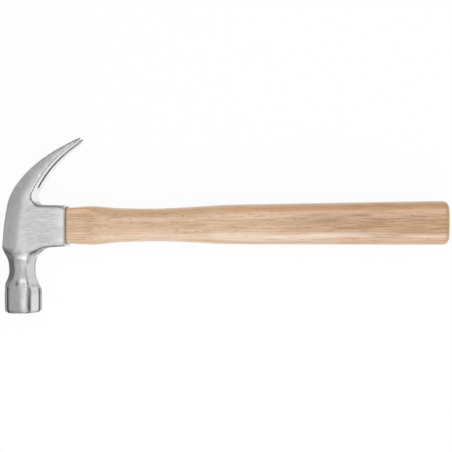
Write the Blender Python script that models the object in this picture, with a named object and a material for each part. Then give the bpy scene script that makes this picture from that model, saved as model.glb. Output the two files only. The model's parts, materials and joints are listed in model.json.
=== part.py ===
"""Curved claw hammer: a forged steel head on a wedged hardwood handle.

The hammer lies on its side. +X runs along the handle towards its butt, +Y towards the claws and
+Z through the thickness. Inside the assembly the origin is where the poll's axis crosses the
axis of the eye. The parent empty then brings the middle of the lowest plane to the world origin.
"""

import math

import bmesh
import bpy
from mathutils import Vector
from mathutils.geometry import interpolate_bezier

MM = 0.001

# Clearances
FIT = 0.3 * MM               # between pieces that touch on the real hammer
OVERCUT = 4.0 * MM           # how far a cutter runs past the faces that it opens

# Poll and neck of the head
FACE_DROP = 69.5 * MM        # eye axis to striking face
FACE_RIM = 2.4 * MM          # rounded rim of the striking face
POLL_WIDTH = 28.2 * MM       # along the handle
POLL_DEPTH = 28.4 * MM       # through the thickness
POLL_LENGTH = 19.5 * MM      # face to the start of the shoulder
POLL_BROAD_FACET = 17.0 * MM
POLL_SIDE_FACET = 8.4 * MM
POLL_FACET_SHIFT = 0.5 * MM   # broad facets from the poll's axis, towards the crown
SHOULDER_TILT = 1.4 * MM     # how much higher the shoulder starts on the crown side
SHOULDER_LENGTH = 14.0 * MM  # poll to the thinnest part of the neck
NECK_WIDTH = 19.5 * MM
NECK_DEPTH = 20.4 * MM
NECK_SHIFT = 0.7 * MM        # neck axis from poll axis, towards the crown
NECK_BROAD_FACET = 8.8 * MM
NECK_SIDE_FACET = 8.4 * MM
STRIP_DROP = 0.07 * MM       # fall of the narrow strip that stands for the flank on the facets
SHOULDER_PULL = 5.6 * MM     # softness of the shoulder's ends
HEEL_REACH = 0.83            # fillet of neck and socket, as shares of the neck's height
HEEL_PULLS = (0.72, 0.6)
HEEL_FACET_END = (0.25, 0.68)  # where the facets beside that fillet narrow to its broken edge
HEEL_LAND = 4.0 * MM         # straight part of the socket that the fillet leaves
CORNER_PULLS = (0.6, 0.15)   # fillet of neck and crown, likewise
CHEEK_FOOT = 22.8 * MM       # eye axis to where the cheeks reach their full thickness
CHEEK_FILLET = 5.6 * MM      # run of the fillet from the neck's broad facets up to the cheeks

# Body of the head: cheeks, socket and crown
CHEEK_THICKNESS = 26.0 * MM
SOCKET_REACH = 35.7 * MM     # poll axis to the mouth of the socket
SOCKET_WALL = 1.3 * MM       # at the mouth, on the claw side
SOCKET_HEEL_WALL = 1.6 * MM  # at the mouth, on the poll side
SOCKET_SIDE_WALL = 2.9 * MM  # at the mouth, through the thickness
SOCKET_FLARE = 0.6 * MM      # how much taller the socket is at its root, each way
CROWN_REACH = 13.6 * MM      # poll axis to the crown, on the eye axis
CROWN_SLOPE = 0.12           # lean of the crown
CROWN_BOW = 1.0 * MM         # hollow of the crown at its heel
CROWN_HEEL = 17.4 * MM       # eye axis to the corner between crown and neck
FLANK_RUN = 15.0 * MM        # rounded flank between cheek and crown
FLANK_DROP = 3.6 * MM
CROWN_CORNER = 1.4 * MM      # rounded corner between crown and neck
CLAW_ROOT_DROP = 2.8 * MM    # top of the socket to the root of the claw on the crown
EDGE = 0.7 * MM              # broken edges
CROWN_WALL = 1.9 * MM        # eye to the side of the crown
EYE_WAIST_NARROWING = 0.7 * MM
EYE_WAIST_REACH = 14.0 * MM  # poll axis to the narrowest part of the eye
EYE_CROWN_HEIGHT = 25.0 * MM

# Claws
CROTCH_RADIUS = 6.7 * MM
CROTCH_REACH = 15.9 * MM     # poll axis to the centre of the crotch arc
CROTCH_END = 155             # direction from that centre to the end of the arc, in degrees
CLAW_REACH = 46.9 * MM       # poll axis to the tips
CLAW_RISE = 69.4 * MM        # eye axis to the tips
CLAW_ROOT_LEAN = 0.12        # sideways run of the outer curve for each unit of its rise
CLAW_OUTER_LEAN = 26.4       # outer and inner curve above the handle's axis, in degrees
CLAW_INNER_LEAN = 35
CLAW_BEVEL_LEAN = 54
CLAW_OUTER_PULLS = (22.1 * MM, 35.9 * MM)  # pull of each curve's root and tip
CLAW_INNER_PULLS = (19.0 * MM, 18.0 * MM)
CLAW_SPAN = (0.38, 0.95)     # shares of the outer curve that face the crotch's end and the bevel
CLAW_BROADEST = 0.45         # share of the claw's length where it is broadest
CLAW_WIDTH = 28.0 * MM       # across both claws at their broadest
CLAW_TIP_WIDTH = 22.0 * MM
CLAW_TIP_CORNER = 2.2 * MM   # narrowing of the tips along the bevel, each side
CLAW_FLANK_RUN = 0.68        # share of a claw's section between its edges that is rounded flank
CLAW_FLANK_FALL = 0.33       # drop of that flank for each unit of its run
CLAW_TIP_THICKNESS = 0.9 * MM
CLAW_BEVEL = 4.8 * MM        # length of the bevel that sharpens the tips
SLOT_ROOT_WIDTH = 2.4 * MM
SLOT_TIP_WIDTH = 6.8 * MM
SLOT_BEVEL = 0.9 * MM        # how much wider each slot wall opens on the inner side
SLOT_ROOT = 0.05             # share of the claw below the slot
SECTION_LEAD = 0.92          # below 1 the claw's sections lead on the outer curve

# Handle
HANDLE_LENGTH = 303.9 * MM   # mouth of the socket to the butt
MOUTH_HEIGHT = 29.0 * MM
SWELL_HEIGHT = 31.4 * MM
SWELL_THICKNESS = 23.4 * MM
SWELL_AT = 19.0 * MM         # distances from the mouth of the socket
FLAT_END_AT = 15.0 * MM
FLAT_RUNOUT = 8.5 * MM       # end of the flat to the full thickness of the swell
THROAT_HEIGHT = 27.5 * MM
THROAT_AT = 42.0 * MM
WAIST_HEIGHT = 26.3 * MM
WAIST_THICKNESS = 22.0 * MM
WAIST_AT = 66.0 * MM
GRIP_HEIGHT = 32.2 * MM
GRIP_THICKNESS = 24.0 * MM
GRIP_AT = 138.0 * MM
BUTT_HEIGHT = 35.5 * MM
BUTT_THICKNESS = 25.0 * MM
BUTT_RISE = 2.2 * MM         # handle axis above the eye axis at the butt
BUTT_ROUND_LENGTH = 3.8 * MM
BUTT_ROUND_DEPTH = 4.8 * MM
TENON_CHAMFER = (3.5 * MM, 2.2 * MM)  # height and thickness of the corner cuts
GRIP_CHAMFER = (8.0 * MM, 5.2 * MM)
BUTT_CHAMFER_LOSS = 0.6      # share of the corner cuts that is gone at the end of the butt
TENON_RECESS = 0.8 * MM      # tenon end below the crown

# Wedges
WOOD_WEDGE_LENGTH = 26.0 * MM
WOOD_WEDGE_THICKNESS = 4.0 * MM
STEEL_WEDGE_LENGTH = 14.0 * MM
STEEL_WEDGE_THICKNESS = 2.4 * MM
STEEL_WEDGE_WIDTH = 9.0 * MM
STEEL_WEDGE_SPACING = 12.0 * MM
WEDGE_TIP_THICKNESS = 0.7 * MM
WEDGE_SIDE_GAP = 0.6 * MM    # wooden wedge to the narrowest part of the eye, each side

# Number of sections along each stretch, and the angle from which an edge is sharp
RIM_STEPS = 3
NECK_STEPS = 12
CROWN_STEPS = 4
CROTCH_STEPS = 8
CLAW_STEPS = 20
FLANK_STEPS = 4
HANDLE_STEPS = 30
BUTT_STEPS = 4
SECTION_CROWDING = 1.5       # above 1 the handle's sections crowd towards the head
SHARP_ANGLE = math.radians(25)

# Sizes that follow from those above
SOCKET_TOP = MOUTH_HEIGHT / 2 + FIT + SOCKET_WALL
SOCKET_HEEL = MOUTH_HEIGHT / 2 + FIT + SOCKET_HEEL_WALL
CHEEK = CHEEK_THICKNESS / 2
EYE_MOUTH_HALF = CHEEK - SOCKET_SIDE_WALL
EYE_CROWN_HALF = CHEEK - FLANK_DROP - EDGE - CROWN_WALL
EYE_WAIST_HALF = EYE_CROWN_HALF - EYE_WAIST_NARROWING


def point(x, y):
    return Vector((x, y))


def curve(start, start_pull, end_pull, end, steps):
    """Points of a Bezier curve whose handles are given as offsets from its ends."""
    ends = [p.to_3d() for p in (start, start + start_pull, end + end_pull, end)]
    return [p.to_2d() for p in interpolate_bezier(*ends, steps + 1)]


def mix(first, second, share):
    return tuple(a + (b - a) * share for a, b in zip(first, second))


def smooth_through(keys, x):
    """Value at x of a smooth curve through (x, value) keys that is level where it turns."""
    steps = [(v1 - v0) / (x1 - x0) for (x0, v0), (x1, v1) in zip(keys, keys[1:])]
    slopes = [0.0]
    for before, after in zip(steps, steps[1:]):
        slopes.append(min(before, after, key=abs) if before * after > 0 else 0.0)
    slopes.append(steps[-1])
    for i, ((x0, v0), (x1, v1)) in enumerate(zip(keys, keys[1:])):
        if x <= x1 or i == len(keys) - 2:
            span = x1 - x0
            t = (x - x0) / span
            rise = (v1 - v0) * t * t * (3 - 2 * t)
            lean = span * t * (1 - t) * (slopes[i] * (1 - t) - slopes[i + 1] * t)
            return v0 + rise + lean


def material(name, colour, roughness, metallic):
    made = bpy.data.materials.new(name)
    made.use_nodes = True
    shader = made.node_tree.nodes["Principled BSDF"]
    shader.inputs["Base Color"].default_value = (*colour, 1.0)
    shader.inputs["Roughness"].default_value = roughness
    shader.inputs["Metallic"].default_value = metallic
    return made


def loft(name, rings, collection):
    """A closed solid skinned over rings that all have the same number of points."""
    skin = bmesh.new()
    loops = [[skin.verts.new(p) for p in ring] for ring in rings]
    for low, high in zip(loops, loops[1:]):
        for i, corner in enumerate(low):
            skin.faces.new((corner, low[i - 1], high[i - 1], high[i]))
    skin.faces.new(loops[0])
    skin.faces.new(reversed(loops[-1]))
    bmesh.ops.recalc_face_normals(skin, faces=skin.faces)
    mesh = bpy.data.meshes.new(name)
    skin.to_mesh(mesh)
    skin.free()
    made = bpy.data.objects.new(name, mesh)
    collection.objects.link(made)
    return made


def finish(piece, finish_material):
    piece.data.materials.append(finish_material)
    piece.data.shade_smooth()
    piece.data.set_sharp_from_angle(angle=SHARP_ANGLE)
    piece.parent = assembly


def cutter(name, rings):
    made = loft(name, rings, cutters)
    made.hide_render = True
    made.display_type = "WIRE"
    made.parent = assembly
    return made


def cut(piece, tool):
    boolean = piece.modifiers.new(tool.name, "BOOLEAN")
    boolean.operation = "DIFFERENCE"
    boolean.object = tool


# Sections of the head. A style is (half thickness, run and drop of the edge on the handle side,
# run and drop of the flank, run and drop of the edge on the crown side).

def faceted_style(depth, inner_half, outer_half, broad_facet, side_facet, shift=0.0):
    drop = (depth - side_facet) / 2
    inner_run = inner_half - broad_facet / 2 + shift
    outer_run = outer_half - broad_facet / 2 - shift - EDGE
    return (depth / 2, inner_run, drop, EDGE, STRIP_DROP, outer_run, drop - STRIP_DROP)


POLL_STYLE = faceted_style(POLL_DEPTH, POLL_WIDTH / 2, POLL_WIDTH / 2, POLL_BROAD_FACET,
                           POLL_SIDE_FACET, POLL_FACET_SHIFT)
NECK_INNER = NECK_WIDTH / 2 - NECK_SHIFT
NECK_OUTER = NECK_WIDTH / 2 + NECK_SHIFT
NECK_STYLE = faceted_style(NECK_DEPTH, NECK_INNER, NECK_OUTER, NECK_BROAD_FACET, NECK_SIDE_FACET)
BODY_STYLE = (CHEEK, EDGE, EDGE, FLANK_RUN, FLANK_DROP, EDGE, EDGE)


def head_ring(inner, outer, style):
    """A closed ring across the head from its handle side to its crown side.

    The flank bends away from the cheek over its first half and then falls straight.
    """
    half, inner_run, inner_drop, flank_run, flank_drop, outer_run, outer_drop = style
    length = (outer - inner).length
    along = (outer - inner) / length
    upper = [(0.0, half - inner_drop), (inner_run, half)]
    knee = length - outer_run - flank_run
    for step in range(FLANK_STEPS + 1):
        share = step / FLANK_STEPS
        fall = share ** 2 if share < 0.5 else share - 0.25
        upper.append((knee + flank_run * share, half - flank_drop * fall / 0.75))
    upper.append((length, half - flank_drop - outer_drop))
    near = [(inner + along * run).to_3d() + Vector((0, 0, z)) for run, z in upper]
    far = [Vector((p.x, p.y, -p.z)) for p in reversed(near)]
    return near + far


def shrunk(style, inset):
    half, inner_run, inner_drop, flank_run, flank_drop, outer_run, outer_drop = style
    return (half - inset, inner_run, inner_drop - inset / 2, flank_run, flank_drop, outer_run,
            outer_drop - inset / 2)


def crown_point(y):
    return point(-CROWN_REACH + CROWN_SLOPE * y + CROWN_BOW * (y / CROWN_HEEL) ** 2, y)


def poll_rings():
    """Striking face with its rounded rim, then the straight facets of the poll."""
    rings = []
    for step in range(RIM_STEPS + 1):
        turn = math.radians(90) * step / RIM_STEPS
        inset = FACE_RIM * (1 - math.sin(turn))
        y = -FACE_DROP + FACE_RIM * (1 - math.cos(turn))
        half = POLL_WIDTH / 2 - inset
        rings.append(head_ring(point(half, y), point(-half, y), shrunk(POLL_STYLE, inset)))
    return rings


def shoulder_rings():
    """Concave facets from the poll in to the neck."""
    low = -FACE_DROP + POLL_LENGTH
    high = low + SHOULDER_LENGTH
    pull = point(0, SHOULDER_PULL)
    inner = curve(point(POLL_WIDTH / 2, low - SHOULDER_TILT), pull - point(SHOULDER_PULL / 2, 0),
                  -pull, point(NECK_INNER, high), NECK_STEPS)
    outer = curve(point(-POLL_WIDTH / 2, low + SHOULDER_TILT), pull + point(SHOULDER_PULL / 5, 0),
                  -pull, point(-NECK_OUTER, high), NECK_STEPS)
    rings = []
    for inner_point, outer_point in zip(inner, outer):
        share = (POLL_WIDTH / 2 - inner_point.x) / (POLL_WIDTH / 2 - NECK_INNER)
        rings.append(head_ring(inner_point, outer_point, mix(POLL_STYLE, NECK_STYLE, share)))
    return rings


def neck_rings():
    """Neck facets that run out into the socket's heel and the corner of the crown."""
    low = -FACE_DROP + POLL_LENGTH + SHOULDER_LENGTH + EDGE
    heel = -SOCKET_HEEL - SOCKET_FLARE
    rise = heel - low
    corner = crown_point(-CROWN_HEEL)
    heel_end = point(min(NECK_INNER + rise * HEEL_REACH, SOCKET_REACH - HEEL_LAND), heel)
    inner = curve(point(NECK_INNER, low), point(0, rise * HEEL_PULLS[0]),
                  point(-rise * HEEL_PULLS[1], -EDGE), heel_end, NECK_STEPS)
    outer = curve(point(-NECK_OUTER, low), point(0, rise * CORNER_PULLS[0]),
                  point(-EDGE / 2, -rise * CORNER_PULLS[1]), corner, NECK_STEPS)
    rings = []
    for step, (inner_point, outer_point) in enumerate(zip(inner, outer)):
        late = (step / NECK_STEPS) ** 2
        ended = (step / NECK_STEPS - HEEL_FACET_END[0]) / (HEEL_FACET_END[1] - HEEL_FACET_END[0])
        ended = min(1, max(0, ended))
        beside_heel = mix(NECK_STYLE, BODY_STYLE, ended ** 2 * (3 - 2 * ended))
        below_cheek = -CHEEK_FOOT - (inner_point.y + outer_point.y) / 2
        climb = min(1, max(0, 1 - below_cheek / CHEEK_FILLET))
        style = list(mix(NECK_STYLE, BODY_STYLE, late))
        style[0] = NECK_DEPTH / 2 + (CHEEK - NECK_DEPTH / 2) * climb ** 2
        style[1:3] = beside_heel[1:3]
        rings.append(head_ring(inner_point, outer_point, style))
    return rings


def body_rings():
    """Socket and cheeks: the rings run from the mouth of the socket to the crown."""
    heel_corner = [point(SOCKET_REACH - EDGE, -SOCKET_HEEL), point(SOCKET_REACH, -SOCKET_HEEL + EDGE)]
    top_corner = [point(SOCKET_REACH, SOCKET_TOP - EDGE), point(SOCKET_REACH - EDGE, SOCKET_TOP)]
    first = -CROWN_HEEL + CROWN_CORNER
    last = SOCKET_TOP - CLAW_ROOT_DROP - CROWN_CORNER
    rings = [head_ring(heel_corner[0], crown_point(first - CROWN_CORNER / 2), BODY_STYLE)]
    for step in range(CROWN_STEPS + 1):
        share = step / CROWN_STEPS
        mouth = heel_corner[1].lerp(top_corner[0], share)
        rings.append(head_ring(mouth, crown_point(first + (last - first) * share), BODY_STYLE))
    rings.append(head_ring(top_corner[1], crown_point(last + CROWN_CORNER / 2), BODY_STYLE))
    return rings


def claw_style(length, share):
    """Claw section: flat inner face, rounded flanks towards the outer face."""
    if share < CLAW_BROADEST:
        half = CHEEK + (CLAW_WIDTH / 2 - CHEEK) * math.sin(math.radians(90) * share / CLAW_BROADEST)
    else:
        taper = (share - CLAW_BROADEST) / (1 - CLAW_BROADEST)
        half = CLAW_WIDTH / 2 + (CLAW_TIP_WIDTH / 2 - CLAW_WIDTH / 2) * taper ** 2
    edge = min(EDGE, length / 6)
    flank_run = (length - 2 * edge) * CLAW_FLANK_RUN
    return (half, edge, edge, flank_run, flank_run * CLAW_FLANK_FALL, edge, edge)


def direction(degrees):
    return point(math.cos(math.radians(degrees)), math.sin(math.radians(degrees)))


def claw_sections():
    """(inner point, outer point, style) from the socket's top edge round the crotch to the tips."""
    centre = point(CROTCH_REACH, SOCKET_TOP + SOCKET_FLARE / 2 + CROTCH_RADIUS)
    tip = point(CLAW_REACH, CLAW_RISE)
    half_tip = direction(CLAW_OUTER_LEAN + 90) * CLAW_TIP_THICKNESS / 2
    outer = curve(crown_point(SOCKET_TOP - CLAW_ROOT_DROP), point(CLAW_ROOT_LEAN, 1) * CLAW_OUTER_PULLS[0],
                  -direction(CLAW_OUTER_LEAN) * CLAW_OUTER_PULLS[1], tip + half_tip, 5 * CLAW_STEPS)
    inner_start = centre + direction(CROTCH_END) * CROTCH_RADIUS
    inner_end = tip - direction(CLAW_BEVEL_LEAN) * CLAW_BEVEL
    inner = curve(inner_start, direction(CROTCH_END - 90) * CLAW_INNER_PULLS[0],
                  -direction(CLAW_INNER_LEAN) * CLAW_INNER_PULLS[1], inner_end, CLAW_STEPS)

    def outer_at(share):
        return outer[round(share * (len(outer) - 1))]

    sections = []
    first, last = CLAW_SPAN
    first_style = claw_style((outer_at(first) - inner_start).length, 0)
    for step in range(CROTCH_STEPS):
        share = step / CROTCH_STEPS
        inner_point = centre + direction(270 + (CROTCH_END - 270) * share) * CROTCH_RADIUS
        sections.append((inner_point, outer_at(first * share), mix(BODY_STYLE, first_style, share)))
    for step, inner_point in enumerate(inner):
        share = step / CLAW_STEPS
        outer_point = outer_at(first + (last - first) * share ** SECTION_LEAD)
        length = (outer_point - inner_point).length
        sections.append((inner_point, outer_point, claw_style(length, share)))
    tip_style = list(claw_style(CLAW_TIP_THICKNESS, 1.0))
    tip_style[0] -= CLAW_TIP_CORNER
    sections.append((tip - half_tip, tip + half_tip, tip_style))
    return sections


def slot_rings(sections):
    """V-shaped nail slot, wider towards the tips and towards the inner face."""
    claw = sections[CROTCH_STEPS + round(SLOT_ROOT * CLAW_STEPS):]
    middles = []
    for (inner, outer, _), (next_inner, next_outer, _) in zip(claw, claw[1:]):
        middles.append((inner.lerp(next_inner, 0.5), outer.lerp(next_outer, 0.5)))
    tip_inner, tip_outer, _ = claw[-1]
    past_tip = direction(CLAW_BEVEL_LEAN) * OVERCUT
    middles.append((tip_inner + past_tip, tip_outer + past_tip))
    rings = []
    for step, (inner, outer) in enumerate(middles):
        share = step / (len(middles) - 1)
        half = (SLOT_ROOT_WIDTH + (SLOT_TIP_WIDTH - SLOT_ROOT_WIDTH) * share) / 2
        along = (outer - inner).normalized()
        low = (inner - along * OVERCUT).to_3d()
        high = (outer + along * OVERCUT).to_3d()
        across = Vector((0, 0, half))
        across_low = Vector((0, 0, half + SLOT_BEVEL))
        rings.append([low + across_low, high + across, high - across, low - across_low])
    return rings


# Sections of the handle and the eye.

def oval_ring(x, height, thickness, chamfer, rise=0.0, slope=0.0):
    """A soft-cornered octagon square to the handle; slope leans it with the crown."""
    top, half = height / 2, thickness / 2
    cut_y, cut_z = chamfer
    quarter = [(top, half - cut_z), (top - cut_y, half)]
    corners = quarter + [(-y, z) for y, z in reversed(quarter)]
    corners += [(y, -z) for y, z in reversed(corners)]
    for _ in range(2):
        softened = []
        for start, end in zip(corners, corners[1:] + corners[:1]):
            softened += [mix(start, end, 0.25), mix(start, end, 0.75)]
        corners = softened
    return [Vector((x + slope * y, y + rise, z)) for y, z in corners]


def eye_rings(gap):
    """The eye from the mouth through its waist to the crown; gap is taken off all round."""
    stations = [
        (SOCKET_REACH, MOUTH_HEIGHT + 2 * FIT, EYE_MOUTH_HALF, 0.0),
        (EYE_WAIST_REACH, EYE_CROWN_HEIGHT - 2 * EYE_WAIST_NARROWING, EYE_WAIST_HALF, 0.0),
        (-CROWN_REACH, EYE_CROWN_HEIGHT, EYE_CROWN_HALF, CROWN_SLOPE),
    ]
    return [(x, height - 2 * gap, 2 * half - 2 * gap, slope) for x, height, half, slope in stations]


def eye_cutter_rings():
    stations = eye_rings(0.0)
    (mouth, height, width, _), (crown, crown_height, crown_width, slope) = stations[0], stations[-1]
    stations = [(mouth + OVERCUT, height, width, 0.0)] + stations
    stations.append((crown - OVERCUT, crown_height, crown_width, slope))
    return [oval_ring(x, h, w, TENON_CHAMFER, slope=s) for x, h, w, s in stations]


def handle_rings():
    """Tenon, swell, waist and grip, then the rounded butt."""
    tenon = eye_rings(FIT)
    end, end_height, end_width, slope = tenon[-1]
    tenon[-1] = (end + TENON_RECESS, end_height, end_width, slope)
    rings = [oval_ring(x, h, w, TENON_CHAMFER, slope=s) for x, h, w, s in reversed(tenon)]

    mouth_thickness = 2 * (EYE_MOUTH_HALF - FIT)
    heights = [(0, MOUTH_HEIGHT), (SWELL_AT, SWELL_HEIGHT), (THROAT_AT, THROAT_HEIGHT),
               (WAIST_AT, WAIST_HEIGHT), (GRIP_AT, GRIP_HEIGHT), (HANDLE_LENGTH, BUTT_HEIGHT)]
    swell_end = FLAT_END_AT + FLAT_RUNOUT
    thicknesses = [(0, mouth_thickness), (FLAT_END_AT, mouth_thickness), (swell_end, SWELL_THICKNESS),
                   (WAIST_AT, WAIST_THICKNESS), (GRIP_AT, GRIP_THICKNESS),
                   (HANDLE_LENGTH, BUTT_THICKNESS)]
    chamfer_heights = [(0, TENON_CHAMFER[0]), (FLAT_END_AT, TENON_CHAMFER[0]),
                       (swell_end, GRIP_CHAMFER[0]), (HANDLE_LENGTH, GRIP_CHAMFER[0])]
    chamfer_widths = [(0, TENON_CHAMFER[1]), (FLAT_END_AT, TENON_CHAMFER[1]),
                      (swell_end, GRIP_CHAMFER[1]), (HANDLE_LENGTH, GRIP_CHAMFER[1])]

    straight = HANDLE_LENGTH - BUTT_ROUND_LENGTH
    stations = []
    for step in range(1, HANDLE_STEPS + 1):
        stations.append((straight * (step / HANDLE_STEPS) ** SECTION_CROWDING, 0.0))
    for step in range(1, BUTT_STEPS + 1):
        turn = math.radians(90) * step / BUTT_STEPS
        inset = BUTT_ROUND_DEPTH * (1 - math.cos(turn))
        stations.append((straight + BUTT_ROUND_LENGTH * math.sin(turn), inset))
    for x, inset in stations:
        height = smooth_through(heights, x) - 2 * inset
        thickness = smooth_through(thicknesses, x) - 2 * inset
        shrink = 1 - inset / BUTT_ROUND_DEPTH * BUTT_CHAMFER_LOSS
        chamfer = (smooth_through(chamfer_heights, x) * shrink, smooth_through(chamfer_widths, x) * shrink)
        rise = BUTT_RISE * x / HANDLE_LENGTH
        rings.append(oval_ring(SOCKET_REACH + x, height, thickness, chamfer, rise=rise))
    return rings


# Wedges. Each is a tapered plate driven in from the crown.

def tenon_end(y):
    return -CROWN_REACH + TENON_RECESS + CROWN_SLOPE * y


def wedge_rings(length, y, size_y, tip_y, size_z, tip_z, gap=0.0, overcut=0.0):
    """Tip and driven end of a wedge at height y; gap and overcut make it a cutter for its slot."""
    tip = (tenon_end(0) + length + gap, tip_y / 2 + gap, tip_z / 2 + gap, 0.0)
    end = (tenon_end(0) - overcut, size_y / 2 + gap, size_z / 2 + gap, CROWN_SLOPE)
    rings = []
    for x, half_y, half_z, slope in (tip, end):
        corners = [(y + half_y, half_z), (y - half_y, half_z), (y - half_y, -half_z), (y + half_y, -half_z)]
        rings.append([Vector((x + slope * corner_y, corner_y, z)) for corner_y, z in corners])
    return rings


def wood_wedge_rings(**kerf):
    width = EYE_CROWN_HEIGHT - 2 * EYE_WAIST_NARROWING - 2 * WEDGE_SIDE_GAP
    if kerf:
        width += 2 * OVERCUT
    return wedge_rings(WOOD_WEDGE_LENGTH, 0.0, width, width, WOOD_WEDGE_THICKNESS,
                       WEDGE_TIP_THICKNESS, **kerf)


def steel_wedge_rings(y, **slot):
    return wedge_rings(STEEL_WEDGE_LENGTH, y, STEEL_WEDGE_THICKNESS, WEDGE_TIP_THICKNESS,
                       STEEL_WEDGE_WIDTH, STEEL_WEDGE_WIDTH, **slot)


for old in list(bpy.data.objects):
    bpy.data.objects.remove(old)

parts = bpy.data.collections.new("claw_hammer")
cutters = bpy.data.collections.new("cutters")
for group in (parts, cutters):
    bpy.context.scene.collection.children.link(group)
assembly = bpy.data.objects.new("claw_hammer", None)
parts.objects.link(assembly)

forged_steel = material("forged_steel", (0.56, 0.57, 0.57), 0.34, 1.0)
lacquered_wood = material("lacquered_wood", (0.62, 0.41, 0.27), 0.45, 0.0)
wedge_wood = material("wedge_wood", (0.45, 0.27, 0.15), 0.6, 0.0)
wedge_steel = material("wedge_steel", (0.45, 0.45, 0.46), 0.4, 1.0)

# Head
claw = claw_sections()
head_rings = poll_rings() + shoulder_rings() + neck_rings() + body_rings()
head = loft("head", head_rings + [head_ring(*section) for section in claw], parts)
finish(head, forged_steel)
cut(head, cutter("eye_cutter", eye_cutter_rings()))
cut(head, cutter("nail_slot_cutter", slot_rings(claw)))

# Handle
handle = loft("handle", handle_rings(), parts)
finish(handle, lacquered_wood)
cut(handle, cutter("kerf_cutter", wood_wedge_rings(gap=FIT, overcut=OVERCUT)))

# Wedges
wood_wedge = loft("wood_wedge", wood_wedge_rings(), parts)
finish(wood_wedge, wedge_wood)
for place, side in (("upper", 1), ("lower", -1)):
    wedge_y = side * STEEL_WEDGE_SPACING / 2
    steel_wedge = loft("steel_wedge_" + place, steel_wedge_rings(wedge_y), parts)
    finish(steel_wedge, wedge_steel)
    slot = cutter("wedge_slot_" + place, steel_wedge_rings(wedge_y, gap=FIT, overcut=OVERCUT))
    cut(handle, slot)
    cut(wood_wedge, slot)

# Bring the middle of the lowest plane to the origin
corners = [v.co for piece in (head, handle) for v in piece.data.vertices]
lowest = Vector(min(c[axis] for c in corners) for axis in range(3))
highest = Vector(max(c[axis] for c in corners) for axis in range(3))
middle = (lowest + highest) / 2
assembly.location = (-middle.x, -middle.y, -lowest.z)
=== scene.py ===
import json
import math

import bmesh
import bpy
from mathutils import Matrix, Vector
from mathutils.noise import noise as unevenness


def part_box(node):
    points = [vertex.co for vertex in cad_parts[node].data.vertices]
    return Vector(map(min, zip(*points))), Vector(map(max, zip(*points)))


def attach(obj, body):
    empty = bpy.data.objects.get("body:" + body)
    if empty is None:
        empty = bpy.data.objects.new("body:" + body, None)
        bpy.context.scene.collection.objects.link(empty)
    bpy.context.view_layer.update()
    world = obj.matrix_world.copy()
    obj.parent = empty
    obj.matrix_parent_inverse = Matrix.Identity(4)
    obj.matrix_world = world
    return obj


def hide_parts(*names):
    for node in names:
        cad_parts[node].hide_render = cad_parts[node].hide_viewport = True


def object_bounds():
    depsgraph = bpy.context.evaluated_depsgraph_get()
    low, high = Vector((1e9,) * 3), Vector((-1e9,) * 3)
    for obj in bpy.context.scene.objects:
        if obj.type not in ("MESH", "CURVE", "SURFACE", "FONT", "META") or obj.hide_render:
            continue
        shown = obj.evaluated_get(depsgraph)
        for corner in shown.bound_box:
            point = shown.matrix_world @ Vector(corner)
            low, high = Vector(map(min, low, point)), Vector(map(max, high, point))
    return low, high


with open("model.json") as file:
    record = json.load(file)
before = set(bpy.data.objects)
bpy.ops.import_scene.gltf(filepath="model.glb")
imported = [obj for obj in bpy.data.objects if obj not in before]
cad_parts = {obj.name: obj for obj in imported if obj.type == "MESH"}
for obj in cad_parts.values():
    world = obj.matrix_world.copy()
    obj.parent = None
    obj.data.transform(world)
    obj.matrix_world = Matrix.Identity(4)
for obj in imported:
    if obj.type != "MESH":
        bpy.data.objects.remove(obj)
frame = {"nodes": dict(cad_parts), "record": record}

cad_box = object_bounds()

# Head: one steel forging with poll, neck, socket and claws, satin all over, brushed along the
# socket and bright where the claws' inner side is ground, that brightness partly a painted
# highlight. Painted shade darkens its edges, the slot and dull places on neck, poll and claws.
# Its edges are forged round, so a copy of the solid is subdivided, remeshed finely and relaxed.
# The wedges hold it on the tenon.
MM = 0.001
FACE_DROP = 69.5 * MM              # eye axis to striking face
WELD = 0.001 * MM                  # corners of triangles this close are one point
QUAD_BEND = math.radians(14)       # triangles that join to a quad: the bend between them,
QUAD_SKEW = math.radians(70)       # and how far the quad's corners may be from square
SUBDIVISIONS = 2
HEAD_CREASE = math.radians(22)     # edges of the solid that stay edges of the forging
HEAD_GRAIN = 0.5 * MM              # size of the remeshed faces
RELAX_FACTOR = 0.5                 # share of the way to the middle of its neighbours
RELAX_PASSES = 6                   # over the whole forging
SOFT_EDGE_PASSES = 16              # more of them along the edges of socket and poll
SOFT_EDGE_REACH = 5                # faces beside such an edge that relax with it
FILLET_PASSES = 18                 # in the hollow between cheeks and neck, and on the shoulder
ANY = (-math.inf, math.inf)
SOFT_SOCKET = ((10 * MM, math.inf), (12 * MM, 22 * MM), 9 * MM)   # spans of X and Y from the eye,
SOFT_POLL = (ANY, (-math.inf, -48 * MM), -1)                      # and least depth in Z
FILLET = ((-4.9 * MM, 3.5 * MM), (-40 * MM, -20 * MM), 7 * MM)
SHOULDER = ((-7.5 * MM, -2 * MM), (-54 * MM, -43 * MM), 9 * MM)
POLL_RIDGE = 1.6 * MM              # line along the broad facets, from which they lean to the crown
NECK_RIDGE = 0.4 * MM
FACET_LEAN = 0.11                  # fall for each unit beside that line
RIDGE_ROUNDING = 1.2 * MM
FORGED_WAVE = 5.5 * MM             # length and height of the forging's shallow waves
FORGED_DEPTH = 0.10 * MM

head_low, head_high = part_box("head")
mounts = {mount["name"]: Vector(mount["pos_m"]) for mount in frame["record"]["mounts"]}
eye = Vector((mounts["striking_face"].x, mounts["striking_face"].y + FACE_DROP,
              (head_low.z + head_high.z) / 2))


def merged_copy(node):
    """The node's loose triangles, welded and joined to quads."""
    solid = bmesh.new()
    solid.from_mesh(frame["nodes"][node].data)
    bmesh.ops.remove_doubles(solid, verts=solid.verts, dist=WELD)
    bmesh.ops.join_triangles(solid, faces=solid.faces, angle_face_threshold=QUAD_BEND,
                             angle_shape_threshold=QUAD_SKEW)
    return solid


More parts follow.
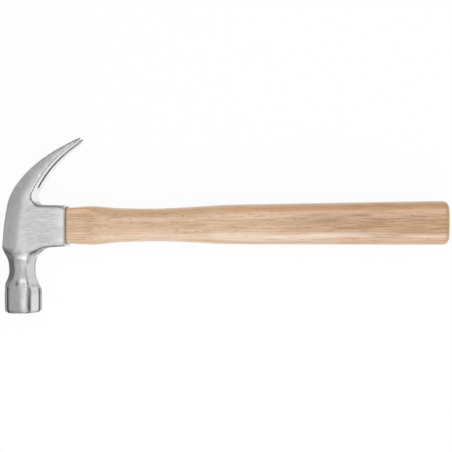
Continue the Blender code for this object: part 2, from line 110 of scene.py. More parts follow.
def crease_edges(solid, angle):
    crease = solid.edges.layers.float.new("crease_edge")
    for edge in solid.edges:
        if edge.is_manifold and edge.calc_face_angle() > angle:
            edge[crease] = 1.0


def piece_from(solid, name):
    mesh = bpy.data.meshes.new(name)
    solid.to_mesh(mesh)
    solid.free()
    piece = bpy.data.objects.new(name, mesh)
    bpy.context.scene.collection.objects.link(piece)
    return piece


def subdivide(piece):
    surface = piece.modifiers.new("surface", "SUBSURF")
    surface.levels = SUBDIVISIONS
    surface.render_levels = SUBDIVISIONS


def apply_modifiers(piece):
    bpy.context.view_layer.update()
    seen = piece.evaluated_get(bpy.context.evaluated_depsgraph_get())
    rough = piece.data
    piece.data = bpy.data.meshes.new_from_object(seen)
    piece.modifiers.clear()
    bpy.data.meshes.remove(rough)
    piece.data.name = piece.name
    piece.data.materials.clear()


solid = merged_copy("head")
crease_edges(solid, HEAD_CREASE)
forged_head = piece_from(solid, "forged_head")
subdivide(forged_head)
remesh = forged_head.modifiers.new("grain", "REMESH")
remesh.mode = "VOXEL"
remesh.voxel_size = HEAD_GRAIN
relax = forged_head.modifiers.new("relax", "SMOOTH")
relax.factor = RELAX_FACTOR
relax.iterations = RELAX_PASSES
apply_modifiers(forged_head)

forging = bmesh.new()
forging.from_mesh(forged_head.data)
forging.verts.ensure_lookup_table()
around = [[edge.other_vert(v).index for edge in v.link_edges] for v in forging.verts]


def ramp(value, low, high):
    """0 up to one value, 1 from the other, and straight between them."""
    return min(1.0, max(0.0, (value - low) / (high - low)))


def spread(values, passes):
    """Average each point's value with its neighbours', a few times over."""
    for _ in range(passes):
        values = [(own + sum(values[i] for i in near)) / (len(near) + 1)
                  for own, near in zip(values, around)]
    return values


def edge_rounding():
    """How strongly the forging rounds outwards at each point: 0 on a face, 1 on an edge."""
    rounding = []
    for v, near in zip(forging.verts, around):
        middle = sum((forging.verts[i].co for i in near), Vector()) / len(near)
        rounding.append((v.co - middle).dot(v.normal) / HEAD_GRAIN)
    return [ramp(r, 0.01, 0.05) for r in spread(rounding, 2)]


def inside(v, x_span, y_span, least_depth):
    x, y, z = v.co - eye
    return x_span[0] < x < x_span[1] and y_span[0] < y < y_span[1] and abs(z) > least_depth


near_edge = [float(r > 0.3 and (inside(v, *SOFT_SOCKET) or inside(v, *SOFT_POLL)))
             for v, r in zip(forging.verts, edge_rounding())]
near_edge = spread(near_edge, SOFT_EDGE_REACH)
soft_verts = [v for v, near in zip(forging.verts, near_edge) if near > 0.02]
fillet_verts = [v for v in forging.verts if inside(v, *FILLET)]
shoulder_verts = [v for v in forging.verts if inside(v, *SHOULDER)]
for verts, passes in ((soft_verts, SOFT_EDGE_PASSES), (fillet_verts, FILLET_PASSES),
                      (shoulder_verts, FILLET_PASSES)):
    for _ in range(passes):
        bmesh.ops.smooth_vert(forging, verts=verts, factor=RELAX_FACTOR,
                              use_axis_x=True, use_axis_y=True, use_axis_z=True)

for v in forging.verts:
    place = v.co - eye
    on_poll = ramp(place.y, -46 * MM, -52 * MM)
    on_neck = ramp(place.y, -15 * MM, -24 * MM) * (1 - on_poll)
    beside = on_poll * (POLL_RIDGE - place.x) + on_neck * (NECK_RIDGE - place.x)
    fall = FACET_LEAN * (beside + math.hypot(beside, RIDGE_ROUNDING)) / 2 * max(on_poll, on_neck)
    v.co.z -= fall * ramp(abs(place.z), 2 * MM, 10 * MM) * math.copysign(1, place.z)
    as_forged = ramp(place.y, -18 * MM, -26 * MM) * ramp(place.y, -54 * MM, -48 * MM)
    v.co -= v.normal * FORGED_DEPTH * as_forged * (0.6 + unevenness(place / FORGED_WAVE))
forging.normal_update()

# Where the steel is painted dark along its edges and in the slot (painted shade), ground and
# painted bright (partly a painted highlight), dull with scale and painted shade, brushed or
# coarse. Places are in millimetres from the eye, and a slope is (where it is 0, where it is 1).
CLAW_BACK = Vector((-0.8, 0.6, 0.0))     # directions out of the claws' curve and into it
CLAW_HOLLOW = Vector((0.75, -0.66, 0.0))
LINE_REACH = 6                           # passes that spread an edge's painted dark line to the faces beside it
POLL_CORNERS = ((8.25, 14.1, 1.35), (14.2, 3.9, 0.95),    # X, Z and breadth of their painted dark line
                (-10.1, 13.0, 1.0), (-14.1, 4.2, 1.0))
LINE_UNEVENNESS_LENGTH = 9.0                        # uneven strength along those lines
HEEL_LINE = 0.58                         # strengths of painted dark lines and shade
HEEL_SHADE = 0.34
RIM_SHADE = 0.36
SIDE_LINE = 0.65
SHOULDER_SHADE = 0.25
DARK_SPOT = Vector((-1.9, -45.8))             # a painted dark spot of shade on the shoulder, and its half sizes
DARK_SPOT_SIZE = Vector((1.9, 3.6))
DARK_SPOT_SHADE = 0.85                        # strengths of scale and painted shade
HEEL_FACET_SHADE = 0.5
THROAT_SHADE = 0.24
WAIST_SHADE = 0.24
FILLET_SHADE = 0.65


def within(value, rise, fall):
    """1 between two slopes, 0 outside them."""
    return ramp(value, *rise) * ramp(value, *fall)


masks = {name: [] for name in ("edge", "slot", "ground_and_highlight", "scale", "brushed", "coarse")}
edges = edge_rounding()
for v, rounding, beside in zip(forging.verts, edges, spread(edges, LINE_REACH)):
    place, normal = (v.co - eye) / MM, v.normal
    x, y, z = place
    depth = abs(z)
    outward, inward = normal.dot(CLAW_BACK), normal.dot(CLAW_HOLLOW)
    on_poll = ramp(y, -45, -50)
    on_shoulder = within(y, (-57, -53), (-42, -46))
    on_neck = within(y, (-17, -20), (-52, -49))

    # Edges, painted shade: dark lines where it rounds, around the socket, down the heel and at the
    # poll's corners, but hardly any under the cheek, at the mouth, and on the claws' sides and back
    over_socket = within(y, (12, 13), (20, 17)) * ramp(x, 8, 12)
    under_socket = within(y, (-13.5, -14.5), (-23, -20)) * ramp(x, 8, 12)
    on_heel = within(y, (-17.5, -19.5), (-52, -46)) * ramp(x, 5, 6)
    off_corner = min(math.hypot(x - corner_x, depth - corner_z) / breadth
                     for corner_x, corner_z, breadth in POLL_CORNERS)
    line_unevenness = 0.95 + 0.3 * unevenness(place / LINE_UNEVENNESS_LENGTH)
    line = max(rounding * (1 - 0.85 * on_shoulder * ramp(abs(normal.y), 0.05, 0.2)),
               min(1, 2.7 * beside) * over_socket,
               min(1, 0.9 * beside) * under_socket,
               min(1, 1.5 * beside) * on_heel,
               ramp(off_corner, 2.1, 1.0) * on_poll * line_unevenness)
    under_cheek = within(y, (-34, -30), (-17, -19)) * within(x, (7.5, 5.5), (-14, -11))
    on_facet = within(y, (-23, -27), (-50, -46)) * ramp(x, 7, 5.5) * (0.6 + 0.4 * ramp(x, 3.5, 2.5))
    on_side_edge = ramp(x, 8, 9) * within(y, (-24, -27), (-47, -45))
    at_mouth = within(x, (33, 35.5), (38, 37)) * (0.7 + 0.3 * ramp(depth, 11, 8))
    on_back = ramp(outward, 0.1, 0.4) * ramp(y, -17, -14)
    on_claw_side = ramp(y, 20, 28) * (1 - on_back)
    line *= (1 - 0.9 * under_cheek) * (1 - 0.75 * on_facet) * (1 - 0.6 * on_side_edge) * (1 - at_mouth)
    line *= 1 - on_back * (1 - 0.4 * ramp(y, 40, 54))
    line *= 1 - on_claw_side * (1 - 0.4 * ramp(abs(normal.z), 0.95, 0.75))
    # Painted shade: a dark line down the heel with shade beside it, and dark bands under the rim,
    # along the neck's side and on the shoulder's facet
    off_line = x - (5.1 + 1.6 * ramp(y, -29.3, -23.1) ** 1.3)
    beside_line = within(off_line, (3.6, 0.3), (-0.2, 0.3))
    heel_shade_line = (max(HEEL_LINE * ramp(abs(off_line), 1.0, 0.2), HEEL_SHADE * beside_line)
                 * within(y, (-31, -29), (-21.8, -23.2)) * ramp(depth, 2, 6))
    under_rim = within(y, (-25.6, -23.4), (-20.8, -22.6)) * within(x, (5.0, 3.8), (-2.6, -1.6))
    side_line = ramp(depth, 3.2, 1.2) * ramp(normal.x, 0.8, 0.9) * within(y, (-23, -26), (-47, -45))
    shoulder_facet = within(y, (-45.8, -46.8), (-49, -48)) * ramp(x, 7.5, 8.5)
    masks["edge"].append(min(1, max(line, heel_shade_line, RIM_SHADE * under_rim, SIDE_LINE * side_line,
                                    SHOULDER_SHADE * shoulder_facet)))

    # Slot: painted shade on its walls, lighter towards the tips
    slot_shade = ramp(depth, 6, 5) * ramp(y, 26, 30) * ramp(abs(normal.z), 0.4, 0.7)
    masks["slot"].append(slot_shade * (1 - 0.5 * ramp(y, 40, 66)))

    # Ground, partly a painted highlight: inner side of the claws, and what faces the handle on neck
    # and poll
    inner_side = ramp(inward, 0.65, 0.9) * ramp(y, 18, 34) * (0.4 + 0.6 * ramp(z, 11, -3))
    to_handle = ramp(normal.x, 0.8, 0.9) * ramp(y, -48, -45)
    handle_chamfer = within(normal.x, (0.25, 0.45), (0.9, 0.8)) * ramp(y, -20, -26)
    masks["ground_and_highlight"].append(max(inner_side, to_handle, (0.5 + 0.3 * on_poll) * handle_chamfer))

    # Scale together with painted shade: crown side of neck and poll, flanks of the claws, rim of the
    # throat, a dark spot on the shoulder, and dull places on the neck around the two bright ones
    # below the cheek and above the shoulder
    bright_block = within(y, (-42, -43), (-46, -45)) * ramp(x, -1.0, -0.2)
    crown_half = ramp(x, 3, 0) * (1 - bright_block)
    crown_side = ramp(-normal.x, 0.15, 0.5)
    poll_sides = ramp(abs(normal.x), 0.8, 0.95)
    claw_flank = (ramp(y, 16, 28) * ramp(abs(normal.z), 0.3, 0.6) * (0.18 + 0.2 * ramp(y, 38, 50))
                  * (1 - 0.6 * ramp(outward, 0.1, 0.35)) * ramp(inward, 0.35, 0.15))
    throat_rim = ramp(inward, 0.5, 0.7) * ramp(y, 12, 16) * ramp(z, 1, 11)
    under_heel = within(normal.x, (0.25, 0.45), (0.97, 0.9)) * within(y, (-31, -22), (-14, -16))
    crown_fillet = ramp(x, -1.4, -2.2) * within(y, (-20.5, -22.5), (-27.2, -25.2))
    on_waist = (within(y, (-42.6, -41.6), (-26, -30)) * ramp(x, -1, 1)
                * (0.14 + 0.34 * ramp(y, -33, -40) * ramp(x, 6, 4.8)))
    under_waist = within(y, (-44.4, -45.4), (-48.6, -47.6)) * within(x, (-0.8, 0.2), (4.2, 3.2))
    poll_rim = within(y, (-47.4, -48.6), (-51.4, -50.2)) * ramp(abs(normal.x), 0.5, 0.3)
    off_dark_spot = math.hypot((x - DARK_SPOT.x) / DARK_SPOT_SIZE.x, (y - DARK_SPOT.y) / DARK_SPOT_SIZE.y)
    masks["scale"].append(max(on_neck * max(crown_side, 0.3 * crown_half),
                              on_poll * max(0.95 * crown_side, 0.4 * crown_half, 0.4 * poll_sides),
                              claw_flank, on_waist, (0.29 + 0.2 * crown_half) * poll_rim,
                              HEEL_FACET_SHADE * under_heel, THROAT_SHADE * throat_rim,
                              WAIST_SHADE * under_waist, FILLET_SHADE * crown_fillet,
                              DARK_SPOT_SHADE * ramp(off_dark_spot, 1.0, 0.4)))

    # Brushed: along the socket. Coarse: upper claws, and the handle's side of neck and shoulder
    masks["brushed"].append(within(x, (-4, 8), (37, 27)) * ramp(abs(y), 22, 14))
    masks["coarse"].append(max(0.7 * ramp(y, 34, 44) * ramp(abs(normal.z), 0.6, 0.9),
                               ramp(x, 3.5, 5) * on_neck * (1 - on_shoulder),
                               ramp(x, 5.5, 7.5) * on_shoulder))
forging.to_mesh(forged_head.data)
forging.free()
for name, mask in masks.items():
    held = forged_head.data.attributes.new(name, "FLOAT", "POINT")
    held.data.foreach_set("value", spread(mask, 1))
forged_head.data.shade_smooth()


def add_node(tree, kind, inputs=(), **settings):
    """A shader node. Its inputs are (socket, value) pairs; a value that is a socket is linked."""
    made = tree.nodes.new("ShaderNode" + kind)
    for name, value in settings.items():
        setattr(made, name, value)
    for socket, value in inputs:
        if isinstance(value, bpy.types.NodeSocket):
            tree.links.new(value, made.inputs[socket])
        else:
            made.inputs[socket].default_value = value
    return made


def new_group(name, inputs, outputs):
    """An empty node group, with the sockets that its nodes read and feed."""
    group = bpy.data.node_groups.new(name, "ShaderNodeTree")
    for way, sockets in (("INPUT", inputs), ("OUTPUT", outputs)):
        for socket, kind in sockets:
            group.interface.new_socket(name=socket, in_out=way, socket_type="NodeSocket" + kind)
    given = group.nodes.new("NodeGroupInput").outputs
    wanted = group.nodes.new("NodeGroupOutput").inputs
    return group, given, wanted


def stretched(tree, scale):
    """Object coordinates, scaled along each axis."""
    place = add_node(tree, "TexCoord").outputs["Object"]
    return add_node(tree, "Mapping", [("Vector", place), ("Scale", scale)]).outputs["Vector"]


def noise(tree, vector, scale, detail=3.0, roughness=0.55):
    made = add_node(tree, "TexNoise", [("Vector", vector), ("Scale", scale), ("Detail", detail),
                                       ("Roughness", roughness)])
    return made.outputs["Fac"]


def fade(tree, value, low, high, to_low=0.0, to_high=1.0):
    """Smooth step of a value from one level to another."""
    made = add_node(tree, "MapRange", [("Value", value), ("From Min", low), ("From Max", high),
                                       ("To Min", to_low), ("To Max", to_high)],
                    interpolation_type="SMOOTHSTEP")
    return made.outputs["Result"]


def combine(tree, operation, first, second):
    return add_node(tree, "Math", [(0, first), (1, second)], operation=operation).outputs[0]


def mix_values(tree, share, first, second):
    return add_node(tree, "Mix", [(0, share), (2, first), (3, second)]).outputs[0]


def mix_colours(tree, share, first, second):
    made = add_node(tree, "Mix", [(0, share), (6, first), (7, second)], data_type="RGBA")
    return made.outputs[2]


def stored(tree, mask):
    return add_node(tree, "Attribute", attribute_name=mask).outputs["Fac"]


def bumped(tree, height, strength, depth):
    made = add_node(tree, "Bump", [("Height", height), ("Strength", strength), ("Distance", depth)])
    return made.outputs["Normal"]


def new_material(name):
    made = bpy.data.materials.new(name)
    made.use_nodes = True
    made.node_tree.nodes.clear()
    shader = add_node(made.node_tree, "BsdfPrincipled")
    add_node(made.node_tree, "OutputMaterial", [("Surface", shader.outputs["BSDF"])])
    return made, made.node_tree, shader


def set_inputs(tree, shader, **inputs):
    for name, value in inputs.items():
        socket = shader.inputs[name.replace("_", " ").title().replace("Ior", "IOR")]
        if isinstance(value, bpy.types.NodeSocket):
            tree.links.new(value, socket)
        else:
            socket.default_value = value


# Marks of grinding and forging that all the steel shows: fine lines along the handle's axis where
# it is brushed, and a mottle of shallow dents elsewhere.
MOTTLE_FINENESS = 0.3              # shares of the given fineness
SPECK_FINENESS = 1.8
LINE_STRETCH = (0.26, 1.6, 1.6)
SPECK_HEIGHT = 0.4

steel_marks, given, wanted = new_group(
    "steel_marks", [("Fineness", "Float"), ("Brushed", "Float")],
    [("Tone", "Float"), ("Height", "Float")])
even = stretched(steel_marks, (1, 1, 1))
coarser = combine(steel_marks, "MULTIPLY", given["Fineness"], MOTTLE_FINENESS)
finer = combine(steel_marks, "MULTIPLY", given["Fineness"], SPECK_FINENESS)
mottle = noise(steel_marks, even, coarser, 4)
lines = noise(steel_marks, stretched(steel_marks, LINE_STRETCH), given["Fineness"], 3, 0.65)
speck = noise(steel_marks, even, finer, 2)
tone = mix_values(steel_marks, given["Brushed"], mottle, lines)
steel_marks.links.new(tone, wanted["Tone"])
height = combine(steel_marks, "ADD", tone, combine(steel_marks, "MULTIPLY", speck, SPECK_HEIGHT))
steel_marks.links.new(height, wanted["Height"])

STEEL_FINENESS = 700
STEEL_ROUGHNESS = (0.36, 0.28)     # in the marks and between them
GROUND_ROUGHNESS = 0.18
COARSE_ROUGHNESS = 0.55
STEEL_BUMP = 0.10
STEEL_BUMP_DEPTH = 0.2 * MM
EDGE_SHADE_STRENGTH = 0.9
STEEL = (0.75, 0.755, 0.76, 1.0)
STEEL_DULL = (0.66, 0.665, 0.67, 1.0)
STEEL_BRUSHED = (0.63, 0.635, 0.64, 1.0)
STEEL_LINES = (0.49, 0.495, 0.50, 1.0)
# Painted shade along the edges, with the scale and in the slot, and a painted highlight where ground
STEEL_EDGE_SHADE = (0.06, 0.062, 0.065, 1.0)
STEEL_SCALE_AND_SHADE = (0.12, 0.124, 0.128, 1.0)
STEEL_SLOT_SHADE = (0.10, 0.10, 0.105, 1.0)
STEEL_GROUND_HIGHLIGHT = (0.97, 0.97, 0.97, 1.0)

satin_steel, tree, shader = new_material("satin_forged_steel")
marks = add_node(tree, "Group", [("Fineness", STEEL_FINENESS),
                                 ("Brushed", stored(tree, "brushed"))], node_tree=steel_marks)
colour = mix_colours(tree, fade(tree, marks.outputs["Tone"], 0.35, 0.65), STEEL_DULL, STEEL)
brushed = mix_colours(tree, fade(tree, marks.outputs["Tone"], 0.36, 0.64), STEEL_LINES, STEEL_BRUSHED)
colour = mix_colours(tree, stored(tree, "brushed"), colour, brushed)
# Painted shade from the scale, edge and slot masks, and a painted highlight from the ground mask
colour = mix_colours(tree, stored(tree, "scale"), colour, STEEL_SCALE_AND_SHADE)
# Ground steel with a painted highlight
colour = mix_colours(tree, stored(tree, "ground_and_highlight"), colour, STEEL_GROUND_HIGHLIGHT)
# Painted shade: dark lines along the edges
colour = mix_colours(tree, combine(tree, "MULTIPLY", stored(tree, "edge"), EDGE_SHADE_STRENGTH),
                     colour, STEEL_EDGE_SHADE)
# Painted shade in the slot
colour = mix_colours(tree, stored(tree, "slot"), colour, STEEL_SLOT_SHADE)
roughness = fade(tree, marks.outputs["Tone"], 0.3, 0.7, *STEEL_ROUGHNESS)
roughness = mix_values(tree, stored(tree, "ground_and_highlight"), roughness, GROUND_ROUGHNESS)
roughness = mix_values(tree, stored(tree, "coarse"), roughness, COARSE_ROUGHNESS)
bump = bumped(tree, marks.outputs["Height"], STEEL_BUMP, STEEL_BUMP_DEPTH)
set_inputs(tree, shader, base_color=colour, metallic=1.0, roughness=roughness, normal=bump,
           specular_tint=(0.9, 0.9, 0.9, 1.0))
forged_head.data.materials.append(satin_steel)
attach(forged_head, "root")
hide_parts("head")

# Handle: one piece of open-pored hardwood, shaped to an eight-sided oval grip and clear
# lacquered. Its tenon fills the head's eye, and its flats beside the socket are cut down to
# the tenon, so they show the growth rings as stripes.
HANDLE_CREASE = math.radians(35)

solid = merged_copy("handle")
crease_edges(solid, HANDLE_CREASE)
turned_handle = piece_from(solid, "turned_handle")
subdivide(turned_handle)
apply_modifiers(turned_handle)
turned_handle.data.shade_smooth()
turned_handle.data.set_sharp_from_angle(angle=HANDLE_CREASE)

# Hardwood: fibres and broader streaks along X, growth rings across Y and short open pores.
FIBRES, FIBRE_STRETCH = 900, (0.06, 1, 1)
STREAKS, STREAK_STRETCH = 350, (0.05, 1, 1)
CLOUDS, CLOUD_STRETCH = 60, (0.2, 1, 1)
RINGS, RING_STRETCH = 150, (0.02, 1, 0.25)
PORES, PORE_STRETCH = 1250, (0.10, 1, 1)
PORE_GROUPS = 400
PORE_STRENGTH = 0.9
FIBRE_SHARE = 0.65                 # of the grain, with streaks for the rest

open_grain, given, wanted = new_group(
    "open_grain", [("Pale", "Color"), ("Dark", "Color"), ("Rose", "Color"), ("Pore", "Color"),
                   ("Stripes", "Float")],
    [("Color", "Color"), ("Height", "Float")])
fibre = noise(open_grain, stretched(open_grain, FIBRE_STRETCH), FIBRES, 4)
streak = noise(open_grain, stretched(open_grain, STREAK_STRETCH), STREAKS, 3)
cloud = noise(open_grain, stretched(open_grain, CLOUD_STRETCH), CLOUDS, 2)
rings = add_node(open_grain, "TexWave", [("Vector", stretched(open_grain, RING_STRETCH)),
                                         ("Scale", RINGS), ("Distortion", 5.0), ("Detail", 2.0),
                                         ("Detail Scale", 1.2)],
                 wave_type="BANDS", bands_direction="Y").outputs["Fac"]
grain = combine(open_grain, "ADD", combine(open_grain, "MULTIPLY", fibre, FIBRE_SHARE),
                combine(open_grain, "MULTIPLY", streak, 1 - FIBRE_SHARE))
colour = mix_colours(open_grain, fade(open_grain, grain, 0.32, 0.64), given["Dark"], given["Pale"])
colour = mix_colours(open_grain, fade(open_grain, cloud, 0.42, 0.66, 0.0, 0.6), colour, given["Rose"])
band = combine(open_grain, "MULTIPLY", fade(open_grain, rings, 0.55, 0.95), given["Stripes"])
colour = mix_colours(open_grain, band, colour, given["Dark"])
cells = add_node(open_grain, "TexVoronoi", [("Vector", stretched(open_grain, PORE_STRETCH)),
                                            ("Scale", PORES)])
pore = fade(open_grain, cells.outputs["Distance"], 0.08, 0.30, 1.0, 0.0)
kept = fade(open_grain, noise(open_grain, cells.outputs["Position"], PORE_GROUPS, 0), 0.34, 0.44)
pore = combine(open_grain, "MULTIPLY", pore, kept)
colour = mix_colours(open_grain, combine(open_grain, "MULTIPLY", pore, PORE_STRENGTH),
                     colour, given["Pore"])
open_grain.links.new(colour, wanted["Color"])
open_grain.links.new(combine(open_grain, "SUBTRACT", fibre, pore), wanted["Height"])

WOOD_ROUGHNESS = 0.42
WOOD_BUMP = 0.12
WOOD_BUMP_DEPTH = 0.3 * MM
COAT_ROUGHNESS = 0.16
WOOD_PALE = (0.725, 0.495, 0.315, 1.0)
WOOD_DARK = (0.50, 0.295, 0.15, 1.0)
WOOD_ROSE = (0.67, 0.43, 0.285, 1.0)
WOOD_PORE = (0.26, 0.14, 0.07, 1.0)
BUTT_WARD_PALE = (0.62, 0.37, 0.20, 1.0)
BUTT_WARD_DARK = (0.31, 0.155, 0.06, 1.0)
# painted sheen on the lower side, and a painted tint on the upper side
PAINTED_SHEEN = (0.74, 0.60, 0.47, 1.0)
UPPER_SIDE_TINT = (0.83, 0.49, 0.26, 1.0)
WOOD_END = (0.46, 0.28, 0.16, 1.0)
BUTT_END = mounts["butt_face"].x
FLAT_RUN = 24 * MM                 # flats beside the socket
SOCKET_MOUTH = eye.x + 35.7 * MM
SHOWN_RUN = BUTT_END - SOCKET_MOUTH
SHEEN_STREAKS, SHEEN_STRETCH = 420, (0.04, 1, 1)

lacquered_wood, tree, shader = new_material("lacquered_hardwood")
place = add_node(tree, "SeparateXYZ", [(0, add_node(tree, "TexCoord").outputs["Object"])])
along, across = place.outputs["X"], place.outputs["Y"]
by_socket = fade(tree, along, SOCKET_MOUTH + 0.6 * FLAT_RUN, SOCKET_MOUTH + 1.2 * FLAT_RUN, 0.65, 0.2)
# The grain turns darker and redder towards the butt
butt_ward = fade(tree, along, SOCKET_MOUTH + 0.4 * SHOWN_RUN, SOCKET_MOUTH + 0.85 * SHOWN_RUN)
wood = add_node(tree, "Group", [("Pale", mix_colours(tree, butt_ward, WOOD_PALE, BUTT_WARD_PALE)),
                                ("Dark", mix_colours(tree, butt_ward, WOOD_DARK, BUTT_WARD_DARK)),
                                ("Rose", mix_colours(tree, butt_ward, WOOD_ROSE, BUTT_WARD_PALE)),
                                ("Pore", WOOD_PORE), ("Stripes", by_socket)], node_tree=open_grain)
# Painted light: the upper side tinted warmer, standing in for how light falls there
upper_side_tint = fade(tree, across, eye.y + 8 * MM, eye.y + 12 * MM, 0.0, 0.35)
colour = mix_colours(tree, upper_side_tint, wood.outputs["Color"], UPPER_SIDE_TINT)
# Painted sheen: a paler, streaky band along the lower side, from past the flats to near the butt
sheen_share = combine(tree, "MULTIPLY", fade(tree, across, eye.y - 3.5 * MM, eye.y - 7 * MM),
                    fade(tree, across, eye.y - 13 * MM, eye.y - 10 * MM, 0.4, 1.0))
sheen_streaks = noise(tree, stretched(tree, SHEEN_STRETCH), SHEEN_STREAKS, 3)
sheen_streaks = fade(tree, sheen_streaks, 0.36, 0.62, 0.1, 0.85)
sheen_share = combine(tree, "MULTIPLY", sheen_share, sheen_streaks)
sheen_rise = fade(tree, along, SOCKET_MOUTH + FLAT_RUN, SOCKET_MOUTH + 0.4 * SHOWN_RUN, 0.35, 1.0)
sheen_share = combine(tree, "MULTIPLY", sheen_share, sheen_rise)
sheen_fall = fade(tree, along, BUTT_END - 0.35 * SHOWN_RUN, BUTT_END - 0.1 * SHOWN_RUN, 1.0, 0.4)
colour = mix_colours(tree, combine(tree, "MULTIPLY", sheen_share, sheen_fall), colour, PAINTED_SHEEN)
at_butt = fade(tree, along, BUTT_END - 5 * MM, BUTT_END - 3 * MM, 0.0, 0.5)
at_crown = fade(tree, along, eye.x - 10 * MM, eye.x - 6 * MM, 0.7, 0.0)
colour = mix_colours(tree, combine(tree, "MAXIMUM", at_butt, at_crown), colour, WOOD_END)
# Painted shade: a dark line on the wood at the socket's mouth, in the gap between the parts
at_mouth = fade(tree, along, SOCKET_MOUTH, SOCKET_MOUTH + 0.8 * MM, 0.8, 0.0)
colour = mix_colours(tree, at_mouth, colour, WOOD_PORE)
bump = bumped(tree, wood.outputs["Height"], WOOD_BUMP, WOOD_BUMP_DEPTH)
set_inputs(tree, shader, base_color=colour, roughness=WOOD_ROUGHNESS, coat_weight=1.0,
           coat_roughness=COAT_ROUGHNESS, normal=bump)
turned_handle.data.materials.append(lacquered_wood)
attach(turned_handle, "root")
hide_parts("handle")

# Wedges: a hardwood wedge in the tenon's kerf and two steel ones across it, driven in from the
# crown until their ends are just below it. The wood is bare, the steel cut from strip.
WEDGE_EDGE = 0.2 * MM
WEDGE_CREASE = math.radians(40)
WEDGE_FLATNESS = math.radians(1)   # faces that bend less are one flat face
WEDGE_ROUGHNESS = 0.7
WEDGE_BUMP = 0.3
STRIP_FINENESS = 900
STRIP_ROUGHNESS = (0.6, 0.4)
WEDGE_PALE = (0.50, 0.33, 0.20, 1.0)
WEDGE_DARK = (0.36, 0.21, 0.12, 1.0)
WEDGE_ROSE = (0.42, 0.25, 0.15, 1.0)
WEDGE_PORE = (0.18, 0.10, 0.05, 1.0)
STRIP_PALE = (0.52, 0.52, 0.53, 1.0)
STRIP_DARK = (0.34, 0.34, 0.35, 1.0)

bare_wood, tree, shader = new_material("bare_wedge_wood")
wood = add_node(tree, "Group", [("Pale", WEDGE_PALE), ("Dark", WEDGE_DARK), ("Rose", WEDGE_ROSE),
                                ("Pore", WEDGE_PORE), ("Stripes", 0.3)], node_tree=open_grain)
bump = bumped(tree, wood.outputs["Height"], WEDGE_BUMP, WOOD_BUMP_DEPTH)
set_inputs(tree, shader, base_color=wood.outputs["Color"], roughness=WEDGE_ROUGHNESS, normal=bump)

cut_steel, tree, shader = new_material("cut_strip_steel")
marks = add_node(tree, "Group", [("Fineness", STRIP_FINENESS), ("Brushed", 0.4)],
                 node_tree=steel_marks)
colour = mix_colours(tree, fade(tree, marks.outputs["Tone"], 0.35, 0.65), STRIP_DARK, STRIP_PALE)
roughness = fade(tree, marks.outputs["Tone"], 0.3, 0.7, *STRIP_ROUGHNESS)
bump = bumped(tree, marks.outputs["Height"], WEDGE_BUMP, STEEL_BUMP_DEPTH)
set_inputs(tree, shader, base_color=colour, metallic=1.0, roughness=roughness, normal=bump)

for node, name, slot, finish in (
        ("wood_wedge", "kerf_wedge", "wedge_wood", bare_wood),
        ("steel_wedge_upper", "cross_wedge_upper", "wedge_steel", cut_steel),
        ("steel_wedge_lower", "cross_wedge_lower", "wedge_steel", cut_steel)):
    solid = merged_copy(node)
    bmesh.ops.dissolve_limit(solid, angle_limit=WEDGE_FLATNESS, verts=solid.verts,
                             edges=solid.edges)
    bmesh.ops.bevel(solid, geom=solid.edges, offset=WEDGE_EDGE, affect="EDGES", segments=2,
                    profile=0.5, material=-1)
    wedge = piece_from(solid, name)
    wedge.data.shade_smooth()
    wedge.data.set_sharp_from_angle(angle=WEDGE_CREASE)
    wedge.data.materials.append(finish)
    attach(wedge, "root")
    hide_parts(node)

# Stage: a pale floor just under the hammer that shows white but keeps its shadow, soft lamps on
# stands around it, and a white room.
FLOOR_SIZE = 60.0
FLOOR_GAP = 0.1 * MM
FLOOR_COLOUR = (0.95, 0.95, 0.95, 1)
WHITE = (1, 1, 1, 1)
FLOOR_WHITENESS = 0.93             # share of plain white in what the camera and the steel see
ROOM_LIGHT = 0.25
floor_mesh = bmesh.new()
bmesh.ops.create_grid(floor_mesh, x_segments=1, y_segments=1, size=FLOOR_SIZE / 2)
bmesh.ops.translate(floor_mesh, verts=floor_mesh.verts, vec=(0, 0, cad_box[0][2] - FLOOR_GAP))
floor = piece_from(floor_mesh, "floor")
pale_floor, tree, shader = new_material("pale_floor")
set_inputs(tree, shader, base_color=FLOOR_COLOUR, roughness=1.0)
shader.inputs["Specular IOR Level"].default_value = 0.0
ray = add_node(tree, "LightPath")
seen = combine(tree, "MAXIMUM", ray.outputs["Is Camera Ray"], ray.outputs["Is Glossy Ray"])
seen = combine(tree, "MULTIPLY", seen, FLOOR_WHITENESS)
white = add_node(tree, "Emission", [("Color", WHITE), ("Strength", 1.0)])
shown = add_node(tree, "MixShader", [(0, seen), (1, shader.outputs["BSDF"]),
                                     (2, white.outputs["Emission"])])
tree.links.new(shown.outputs["Shader"], tree.nodes["Material Output"].inputs["Surface"])
floor.data.materials.append(pale_floor)

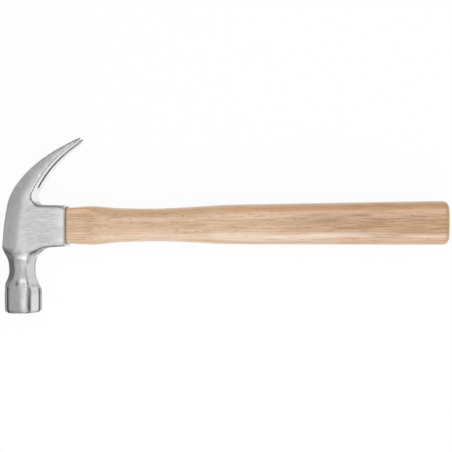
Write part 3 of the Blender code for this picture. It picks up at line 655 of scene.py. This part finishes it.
for name, place, aim, width, height, radiance in (
        ("overhead_softbox", (0.1, -0.28, 1.5), (0.1, -0.28, 0.0), 1.58, 1.15, 0.87),
        ("upper_left_softbox", (-0.9, 0.0, 1.5), (-0.9, 0.0, 0.0), 0.42, 1.15, 0.46),
        ("left_softbox", (-1.3, -0.3, 1.0), (-0.16, -0.05, 0.0), 1.0, 0.9, 0.27),
        ("left_back_softbox", (-0.9, 0.9, 0.85), (-0.14, 0.04, 0.0), 1.5, 1.3, 0.33),
        ("front_softbox", (0.0, -1.15, 0.66), (0.0, 0.0, 0.0), 1.5, 1.3, 1.4),
        ("front_strip", (0.62, -0.85, 1.25), (0.62, 0.0, 0.0), 1.45, 0.2, 4.4),
        ("back_softbox", (0.35, 0.65, 1.35), (0.35, 0.0, 0.0), 1.7, 0.7, 2.1),
        ("right_softbox", (1.6, 0.0, 0.25), (0.0, 0.0, 0.0), 1.4, 0.5, 0.95)):
    lamp = bpy.data.lights.new(name, "AREA")
    lamp.shape = "RECTANGLE"
    lamp.size = width
    lamp.size_y = height
    lamp.energy = math.pi * width * height * radiance
    stand = bpy.data.objects.new(name, lamp)
    stand.location = place
    stand.rotation_euler = (Vector(aim) - Vector(place)).to_track_quat("-Z", "Y").to_euler()
    stand.visible_camera = False
    bpy.context.scene.collection.objects.link(stand)

room = bpy.data.worlds.new("room")
room.use_nodes = True
tree = room.node_tree
tree.nodes.clear()
ray = add_node(tree, "LightPath")
ambient = add_node(tree, "Background", [("Color", WHITE), ("Strength", ROOM_LIGHT)])
white = add_node(tree, "Background", [("Color", WHITE), ("Strength", 1.0)])
shown = add_node(tree, "MixShader", [(0, ray.outputs["Is Camera Ray"]), (1, ambient.outputs[0]),
                                     (2, white.outputs[0])])
add_node(tree, "OutputWorld", [("Surface", shown.outputs[0])])
bpy.context.scene.world = room
bpy.context.scene.view_settings.view_transform = "Standard"

# Camera: straight above the hammer, at the distance and focal length of the photograph.
CAMERA_RISE = 653 * MM             # above the hammer's middle plane
FRAME_WIDTH = 362.3 * MM           # width of the picture at that plane
CAMERA_SHIFT = (162.4 * MM, 69.2 * MM)   # from the middle of the striking face
SENSOR = 36.0
camera = bpy.data.cameras.new("camera")
camera.sensor_width = SENSOR
camera.lens = SENSOR * CAMERA_RISE / FRAME_WIDTH
tripod = bpy.data.objects.new("camera", camera)
tripod.location = (eye.x + CAMERA_SHIFT[0], mounts["striking_face"].y + CAMERA_SHIFT[1],
                   eye.z + CAMERA_RISE)
bpy.context.scene.collection.objects.link(tripod)
bpy.context.scene.camera = tripod
